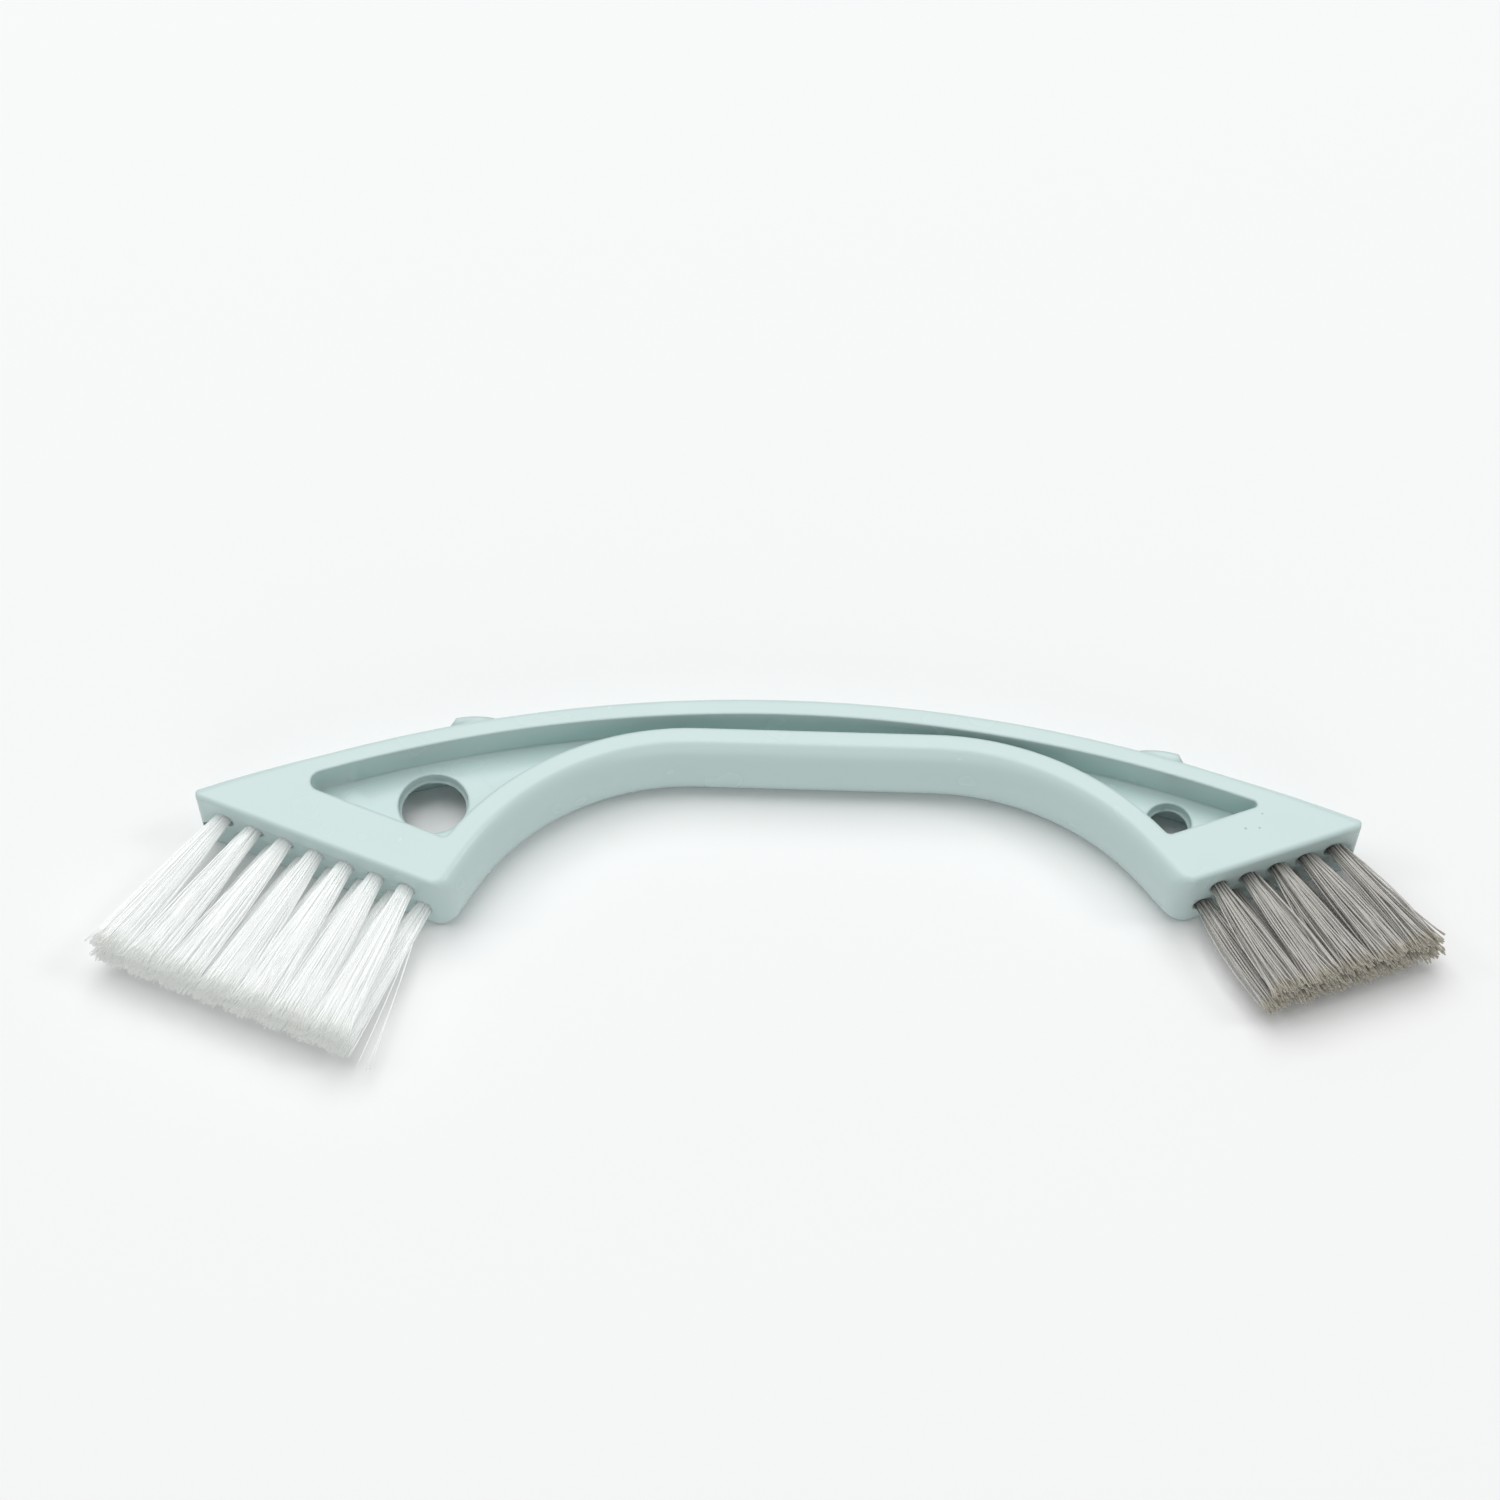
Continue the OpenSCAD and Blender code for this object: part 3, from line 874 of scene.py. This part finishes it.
@dataclass
class Bundle:
    """Bristles of one kind of tuft.

    Attributes:
        head: the head that they stand on.
        count: bristles in one tuft.
        radius: radius of a bristle.
        sides: sides of a bristle.
        steps: stretches along a bristle.
        foot_radius: radius of the tuft where it leaves its hole.
        rooted: how far the bristles reach into the hole.
        uneven: how much the ends differ in length.
        sway: how far a bristle strays sideways at its end.
        bow: how far a bristle bows in its middle.
        strays: share of the bristles that stand away from the rest.
        stray_sway: how many times as far as the rest those stray.
        flick: how far the last stretch of a bristle turns aside.
        loose: strands that lie where the photograph shows them.
        face_at: how far the head's face lies along its outward direction.
    """

    head: Head
    count: int
    radius: float
    sides: int
    steps: int
    foot_radius: float
    rooted: float = 0.8 * MM
    uneven: float = 0.6 * MM
    sway: float = 0.35 * MM
    bow: float = 0.3 * MM
    strays: float = 0.03
    stray_sway: float = 4.0
    flick: float = 0.25 * MM
    loose: tuple["LooseStrand", ...] = ()
    face_at: float = field(init=False, default=0.0)

    def build_all(self, finish: bpy.types.Material) -> list[bpy.types.Object]:
        """Makes one bundle for each tuft of the head.

        Args:
            finish: the bristles' material.

        Returns:
            The bundles, in the order of their nodes.
        """
        self.face_at = face_distance(self.head)
        prefix = self.head.value + "_tuft_"
        names = sorted(
            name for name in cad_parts
            if name.startswith(prefix) and name[len(prefix):].isdigit()
        )
        strand = self._strand()
        bundles = [self._build(name, strand, finish, random.Random(name)) for name in names]
        bpy.data.meshes.remove(strand)
        LOG.info("%s bristles: %d bundles of %d", self.head.value, len(bundles), self.count)
        return bundles

    def _strand(self) -> bpy.types.Mesh:
        """Makes one straight bristle, 1 long, by drawing out a ring step by step."""
        work = bmesh.new()
        ring = bmesh.ops.create_circle(work, cap_ends=True, radius=self.radius, segments=self.sides)
        top = ring["verts"][0].link_faces[0]
        bmesh.ops.duplicate(work, geom=[top])  # the copy stays behind as the sunk end's cap
        for _ in range(self.steps):
            drawn = bmesh.ops.extrude_face_region(work, geom=[top])["geom"]
            corners = [item for item in drawn if isinstance(item, bmesh.types.BMVert)]
            bmesh.ops.translate(work, verts=corners, vec=(0.0, 0.0, 1.0 / self.steps))
            bmesh.ops.delete(work, geom=[top], context="FACES_ONLY")
            top = next(item for item in drawn if isinstance(item, bmesh.types.BMFace))
        bmesh.ops.remove_doubles(work, verts=work.verts, dist=self.radius / 100)
        bmesh.ops.recalc_face_normals(work, faces=work.faces)
        for face in work.faces:
            face.smooth = True
        mesh = bpy.data.meshes.new("one_bristle")
        work.to_mesh(mesh)
        work.free()
        return mesh

    def _build(
        self, name: str, strand: bpy.types.Mesh, finish: bpy.types.Material, dice: random.Random
    ) -> bpy.types.Object:
        """Makes the bundle that stands for one tuft.

        Args:
            name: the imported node.
            strand: a straight bristle to copy.
            finish: the bristles' material.
            dice: the bundle's own random numbers.

        Returns:
            The bundle.
        """
        tuft = TuftPlace.read(name, self.head, self.face_at)
        work = bmesh.new()
        tone = work.verts.layers.float.new("tone")
        along = work.verts.layers.float.new("along")
        courses = [self._bristle(index, tuft, dice) for index in range(self.count)]
        courses += [loose.course(tuft) for loose in self.loose if loose.node == name]
        for bristle in courses:
            start = len(work.verts)
            work.from_mesh(strand)
            work.verts.ensure_lookup_table()
            shade = dice.random()
            for corner in work.verts[start:]:
                share = 1 - (1 - corner.co.z) ** 1.5
                corner[tone] = shade
                corner[along] = share
                section = tuft.row * corner.co.x + Vector((0.0, 0.0, corner.co.y))
                corner.co = bristle.point(share) + section
        piece = add_piece(name.replace("tuft", "bristles"), work, finish)
        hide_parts(name)
        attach(piece, "root")
        return piece

    def _bristle(self, index: int, tuft: "TuftPlace", dice: random.Random) -> "Bristle":
        """Chooses the course of one bristle.

        Args:
            index: the bristle's number in its bundle.
            tuft: the place and spread of the tuft.
            dice: the bundle's random numbers.

        Returns:
            The bristle's course.
        """
        reach = math.sqrt((index + 0.5) / self.count)
        turn = GOLDEN_TURN * index + TURN_JITTER * dice.random()
        across, up = reach * math.cos(turn), reach * math.sin(turn)
        foot = tuft.foot + tuft.row * across * self.foot_radius
        foot += Vector((0.0, 0.0, up * self.foot_radius))
        far = self.sway * (self.stray_sway if dice.random() < self.strays else 1.0)
        end = tuft.end + tuft.row * (across * tuft.half_width + dice.gauss(0.0, far))
        end += Vector((0.0, 0.0, up * tuft.half_height + dice.gauss(0.0, far / 2)))
        end.z = min(max(end.z, tuft.lowest), tuft.highest)
        end += tuft.outward * dice.uniform(-self.uneven, self.uneven / 3)
        side = tuft.row * dice.gauss(0.0, self.bow)
        side += Vector((0.0, 0.0, dice.gauss(0.0, self.bow / 2)))
        flick = tuft.row * dice.gauss(0.0, self.flick)
        flick += Vector((0.0, 0.0, dice.gauss(0.0, self.flick)))
        return Bristle(foot - tuft.outward * self.rooted, end, side, flick)


@dataclass
class Bristle:
    """Course of one bristle: out of its hole, a slight bow, and an end that turns aside.

    Attributes:
        sunk: its sunk end.
        end: its cut end, before that turns aside.
        side: how far it bows in its middle.
        flick: how far its end turns aside.
        flick_from: share of its length at which that begins.
    """

    sunk: Vector
    end: Vector
    side: Vector
    flick: Vector
    flick_from: float = 0.88

    def point(self, share: float) -> Vector:
        """The point at a share of the bristle's length.

        Args:
            share: 0 at the sunk end and 1 at the cut end.

        Returns:
            The point.
        """
        aside = max(0.0, (share - self.flick_from) / (1 - self.flick_from))
        place = self.sunk.lerp(self.end, share) + self.side * math.sin(math.pi * share)
        return place + self.flick * aside * aside


@dataclass(frozen=True)
class LooseStrand:
    """A strand that the photograph shows apart from its tuft, in millimetres.

    Attributes:
        node: the tuft that it belongs to.
        end: its cut end.
        bow: how far it bows in its middle.
        start: its other end, or nothing for one that comes out of its hole.
    """

    node: str
    end: tuple[float, float, float]
    bow: tuple[float, float, float] = (0.0, 0.0, 0.0)
    start: tuple[float, float, float] | None = None

    def course(self, tuft: "TuftPlace") -> Bristle:
        """The strand's course.

        Args:
            tuft: the place of its tuft.

        Returns:
            The course.
        """
        sunk = tuft.foot if self.start is None else Vector(self.start) * MM
        return Bristle(sunk, Vector(self.end) * MM, Vector(self.bow) * MM, Vector())


@dataclass
class TuftPlace:
    """Place, direction and spread of one packed tuft.

    Attributes:
        foot: where its middle leaves the face.
        end: middle of its cut ends.
        row: direction of its row.
        outward: its own direction.
        half_width: half the width of its ends along the row.
        half_height: half their height.
        lowest: height of the lowest of them.
        highest: height of the highest of them.
    """

    foot: Vector
    end: Vector
    row: Vector
    outward: Vector
    half_width: float
    half_height: float
    lowest: float
    highest: float

    @classmethod
    def read(cls, name: str, head: Head, face_at: float) -> "TuftPlace":
        """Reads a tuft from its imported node.

        Args:
            name: the node's name.
            head: the head that it stands on.
            face_at: how far the face lies along its outward direction.

        Returns:
            The tuft's place.
        """
        axes = AXES[head]
        corners = [corner.co.copy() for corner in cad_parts[name].data.vertices]
        depths = [corner.dot(axes.outward) for corner in corners]
        deepest, farthest = min(depths), max(depths)
        sunk = [c for c, d in zip(corners, depths) if d < deepest + BACKING_DEPTH]
        ends = [c for c, d in zip(corners, depths) if d > farthest - TRIM_DEPTH]
        low = middle_of(sunk)
        end = middle_of(ends)
        way = (end - low).normalized()
        foot = low + way * (face_at - low.dot(axes.outward)) / way.dot(axes.outward)
        widths = [c.dot(axes.along) for c in ends]
        heights = [c.z for c in ends]
        return cls(
            foot=foot, end=end, row=axes.along, outward=way,
            half_width=(max(widths) - min(widths)) / 2,
            half_height=(max(heights) - min(heights)) / 2,
            lowest=min(heights), highest=max(heights),
        )


def middle_of(points: list[Vector]) -> Vector:
    """The middle of the box round some points."""
    lows = [min(p[i] for p in points) for i in range(3)]
    highs = [max(p[i] for p in points) for i in range(3)]
    return Vector([(low + high) / 2 for low, high in zip(lows, highs)])


@dataclass(frozen=True)
class Lamp:
    """A soft square lamp, by its name, its place and side in metres, and its power in watts."""

    name: str
    place: tuple[float, float, float]
    size: float
    power: float


@dataclass(frozen=True)
class Studio:
    """Pale floor, soft light from above and behind, and the camera.

    Attributes:
        aim: the point that the camera looks at, in millimetres.
        azimuth: turn of the camera round the brush, in degrees.
        elevation: its height angle, in degrees.
        distance: its distance, in metres.
        lens: focal length on a 36 mm wide sensor.
        floor_size: side of the floor in metres.
        floor_colour: its colour.
        sky_strength: light of the world on the brush.
        sky_seen: brightness of the world to the camera and in reflections.
        lamps: the lamps.
    """

    aim: tuple[float, float, float] = (-4.247, 22.429, 13.0)
    azimuth: float = 2.0
    elevation: float = 55.5
    distance: float = 0.5
    lens: float = 72.0
    floor_size: float = 6.0
    floor_colour: tuple[float, ...] = srgb(246, 247, 247)
    sky_strength: float = 0.32
    sky_seen: float = 0.94
    lamps: tuple[Lamp, ...] = (
        Lamp("soft_box", (-0.25, 0.8, 2.45), 2.4, 47.0),
        Lamp("front_fill", (0.2, -2.2, 0.8), 1.6, 7.5),
        Lamp("left_strip", (-1.55, 0.1, 1.55), 0.5, 3.0),
        Lamp("right_strip", (1.55, 0.1, 1.55), 0.5, 5.0),
    )

    def build(self) -> None:
        """Adds the floor, the lamps, the world and the camera."""
        self._floor()
        self._world()
        for lamp in self.lamps:
            self._hang(lamp)
        self._camera()

    def _floor(self) -> None:
        """A large pale floor under the brush."""
        work = bmesh.new()
        bmesh.ops.create_grid(work, x_segments=1, y_segments=1, size=self.floor_size / 2)
        material, _, shader = new_material("pale_floor")
        shader.inputs["Base Color"].default_value = self.floor_colour
        shader.inputs["Roughness"].default_value = 0.9
        shader.inputs["Specular IOR Level"].default_value = 0.0
        add_piece("floor", work, material)

    def _world(self) -> None:
        """A plain white world, brighter to the camera and in reflections than as a light."""
        world = bpy.data.worlds.new("soft_white")
        bpy.context.scene.world = world
        world.use_nodes = True
        kit = NodeKit(world.node_tree)
        sky = world.node_tree.nodes["Background"]
        sky.inputs["Color"].default_value = (1.0, 1.0, 1.0, 1.0)
        path = kit.add("LightPath")
        seen = path.outputs["Is Camera Ray"]
        for ray in ("Is Transmission Ray", "Is Glossy Ray"):
            seen = kit.math("MAXIMUM", seen, path.outputs[ray])
        strength = kit.remap(seen, 0.0, 1.0, self.sky_strength, self.sky_seen)
        kit.link(strength, sky.inputs["Strength"])

    def _hang(self, lamp: Lamp) -> None:
        """Adds one lamp that points at the brush.

        Args:
            lamp: the lamp.
        """
        light = bpy.data.lights.new(lamp.name, "AREA")
        light.shape = "SQUARE"
        light.size = lamp.size
        light.energy = lamp.power
        place = Vector(lamp.place)
        hung = bpy.data.objects.new(lamp.name, light)
        hung.location = place
        hung.rotation_euler = (Vector(self.aim) * MM - place).to_track_quat("-Z", "Y").to_euler()
        bpy.context.scene.collection.objects.link(hung)

    def _camera(self) -> None:
        """Puts the camera at the photograph's viewing angle."""
        data = bpy.data.cameras.new("camera")
        data.lens = self.lens
        data.sensor_width = 36.0
        data.clip_start = 0.01
        camera = bpy.data.objects.new("camera", data)
        turn, rise = math.radians(self.azimuth), math.radians(self.elevation)
        level = math.cos(rise)
        back = Vector((level * math.sin(turn), -level * math.cos(turn), math.sin(rise)))
        camera.location = Vector(self.aim) * MM + back * self.distance
        camera.rotation_euler = (-back).to_track_quat("-Z", "Y").to_euler()
        bpy.context.scene.collection.objects.link(camera)
        bpy.context.scene.camera = camera


# Painted light: each root colour is painted shade near the face, and each glow is a painted glow.
WHITE_NYLON = BristleFinish(
    name="white_nylon", body=srgb(250, 252, 251), other=srgb(244, 247, 246),
    tip=srgb(226, 229, 225), root=srgb(240, 244, 243), roughness=0.38, sheen=0.6, painted_glow=0.16,
)
GREY_NYLON = BristleFinish(
    name="grey_nylon", body=srgb(204, 202, 197), other=srgb(168, 165, 159),
    tip=srgb(174, 168, 151), root=srgb(142, 140, 135), roughness=0.32, sheen=0.2, painted_glow=0.03,
)


def main() -> None:
    """Builds the handle, the bristles, the anchors' finish and the studio."""
    logging.basicConfig(level=logging.INFO, format="%(message)s")
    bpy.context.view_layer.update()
    bpy.context.scene.view_settings.view_transform = "Standard"
    groups = EffectGroups()
    HandleShell().build(HandleFinish().build(groups))
    Bundle(
        head=Head.WIDE, count=230, radius=0.076 * MM, sides=4, steps=6, foot_radius=1.3 * MM,
        loose=(
            LooseStrand("white_tuft_15", (-63.3, -34.8, 3.4), (0.5, 0.2, 0.0)),
            LooseStrand("white_tuft_15", (-62.9, -34.2, 2.6), (0.2, 0.1, 0.0)),
            LooseStrand("white_tuft_15", (-64.6, -35.3, 5.2), (0.4, 0.0, 0.3)),
        ),
    ).build_all(WHITE_NYLON.build(groups))
    Bundle(
        head=Head.NARROW, count=62, radius=0.135 * MM, sides=6, steps=6, foot_radius=1.24 * MM,
        sway=0.45 * MM, bow=0.4 * MM, strays=0.08,
        loose=(
            LooseStrand("grey_tuft_11", (72.6, 2.6, 8.6), (0.3, 0.5, 0.9), (70.7, 2.2, 6.6)),
            LooseStrand("grey_tuft_09", (78.6, -6.6, 8.4), (0.0, -0.4, 0.4), (76.8, -7.6, 8.0)),
        ),
    ).build_all(GREY_NYLON.build(groups))
    steel = SteelFinish().build(groups)
    for name in ("white_tuft_anchors", "grey_tuft_anchors"):
        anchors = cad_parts[name]
        anchors.data.materials.clear()
        anchors.data.materials.append(steel)
    LOG.info("anchors dressed")
    Studio().build()


if __name__ == "__main__":
    main()
